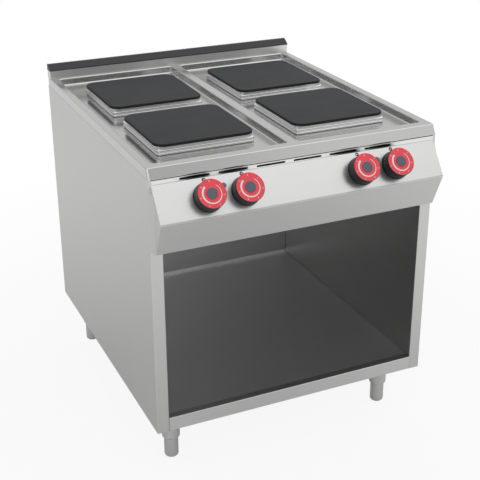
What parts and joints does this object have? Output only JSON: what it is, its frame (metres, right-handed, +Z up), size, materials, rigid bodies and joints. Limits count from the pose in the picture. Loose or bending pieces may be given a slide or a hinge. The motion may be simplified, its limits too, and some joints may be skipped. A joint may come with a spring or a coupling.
{
  "type": "electric stove",
  "caption": "Free-standing electric stove with square cast hot plates in sunk wells, a leaning control panel with round knobs, and an open cabinet on adjustable feet.",
  "frame": {"origin": "on the floor, under the middle of the box round the whole stove", "axes": "+Z up, -Y towards the user at the front, +X to the right as seen from the front"},
  "size_m": [0.8, 0.9676, 0.922],
  "materials": {
    "cabinet_steel": "satin, fine vertical grain",
    "inner_steel": "plain mill finish",
    "worktop_steel": "satin, fine grain along the width",
    "panel_steel": "satin, fine grain along the width",
    "frame_steel": "bright satin, pressed bands",
    "plate_iron": "machined and blackened top",
    "cap_grey": "fine matt",
    "knob_black": "satin, moulded flutes",
    "dial_red": "satin with white marks",
    "dial_grey": "satin",
    "spindle_steel": "turned",
    "switch_body": "moulded",
    "lamp_green": "clear tinted lens",
    "gasket_black": "matt",
    "element_sheath": "heat-darkened sheath",
    "leg_steel": "turned satin tube",
    "gland_grey": "moulded",
    "block_white": "moulded"
  },
  "bodies": {
    "root": {"back_panel": "inner_steel", "cabinet_floor": "inner_steel", "cable_gland": "gland_grey", "cheek_left": "cabinet_steel", "cheek_right": "cabinet_steel", "control_panel": "panel_steel", "front_bottom_rail": "cabinet_steel", "front_skirt": "panel_steel", "front_top_rail": "inner_steel", "heat_shield": "inner_steel", "heater_pan_front_left": "inner_steel", "heater_pan_front_right": "inner_steel", "heater_pan_rear_left": "inner_steel", "heater_pan_rear_right": "inner_steel", "heating_elements": "element_sheath", "hot_plate_front_left": "plate_iron", "hot_plate_front_right": "plate_iron", "hot_plate_rear_left": "plate_iron", "hot_plate_rear_right": "plate_iron", "leg_socket_front_left": "leg_steel", "leg_socket_front_right": "leg_steel", "leg_socket_rear_left": "leg_steel", "leg_socket_rear_right": "leg_steel", "pilot_lamp_left": "lamp_green", "pilot_lamp_right": "lamp_green", "plate_frame_front_left": "frame_steel", "plate_frame_front_right": "frame_steel", "plate_frame_rear_left": "frame_steel", "plate_frame_rear_right": "frame_steel", "plate_gaskets": "gasket_black", "rear_top_rail": "inner_steel", "rotary_switches": "switch_body", "side_panel_left": "cabinet_steel", "side_panel_right": "cabinet_steel", "splashback": "worktop_steel", "splashback_cap": "cap_grey", "switch_bracket": "inner_steel", "terminal_block": "block_white", "vent_strip": "panel_steel", "worktop": "worktop_steel"},
    "knob_1": {"knob_1": "knob_black", "knob_dial_1": "dial_red", "knob_cap_1": "dial_grey", "switch_spindle_1": "spindle_steel"},
    "knob_2": {"knob_2": "knob_black", "knob_dial_2": "dial_red", "knob_cap_2": "dial_grey", "switch_spindle_2": "spindle_steel"},
    "knob_3": {"knob_3": "knob_black", "knob_dial_3": "dial_red", "knob_cap_3": "dial_grey", "switch_spindle_3": "spindle_steel"},
    "knob_4": {"knob_4": "knob_black", "knob_dial_4": "dial_red", "knob_cap_4": "dial_grey", "switch_spindle_4": "spindle_steel"},
    "foot_front_left": {"leg_foot_front_left": "leg_steel"},
    "foot_front_right": {"leg_foot_front_right": "leg_steel"},
    "foot_rear_left": {"leg_foot_rear_left": "leg_steel"},
    "foot_rear_right": {"leg_foot_rear_right": "leg_steel"}
  },
  "joints": [
    {"name": "knob_1_turn", "type": "hinge", "parent": "root", "child": "knob_1", "pos_m": [-0.26, -0.43584, 0.79988], "axis": [0, -0.8111, 0.585], "continuous": true},
    {"name": "knob_2_turn", "type": "hinge", "parent": "root", "child": "knob_2", "pos_m": [-0.161, -0.43584, 0.79988], "axis": [0, -0.8111, 0.585], "continuous": true},
    {"name": "knob_3_turn", "type": "hinge", "parent": "root", "child": "knob_3", "pos_m": [0.161, -0.43584, 0.79988], "axis": [0, -0.8111, 0.585], "continuous": true},
    {"name": "knob_4_turn", "type": "hinge", "parent": "root", "child": "knob_4", "pos_m": [0.26, -0.43584, 0.79988], "axis": [0, -0.8111, 0.585], "continuous": true},
    {"name": "foot_front_left_screw", "type": "slide", "parent": "root", "child": "foot_front_left", "axis": [0, 0, -1], "range_m": [0, 0.04]},
    {"name": "foot_front_right_screw", "type": "slide", "parent": "root", "child": "foot_front_right", "axis": [0, 0, -1], "range_m": [0, 0.04]},
    {"name": "foot_rear_left_screw", "type": "slide", "parent": "root", "child": "foot_rear_left", "axis": [0, 0, -1], "range_m": [0, 0.04]},
    {"name": "foot_rear_right_screw", "type": "slide", "parent": "root", "child": "foot_rear_right", "axis": [0, 0, -1], "range_m": [0, 0.04]}
  ]
}
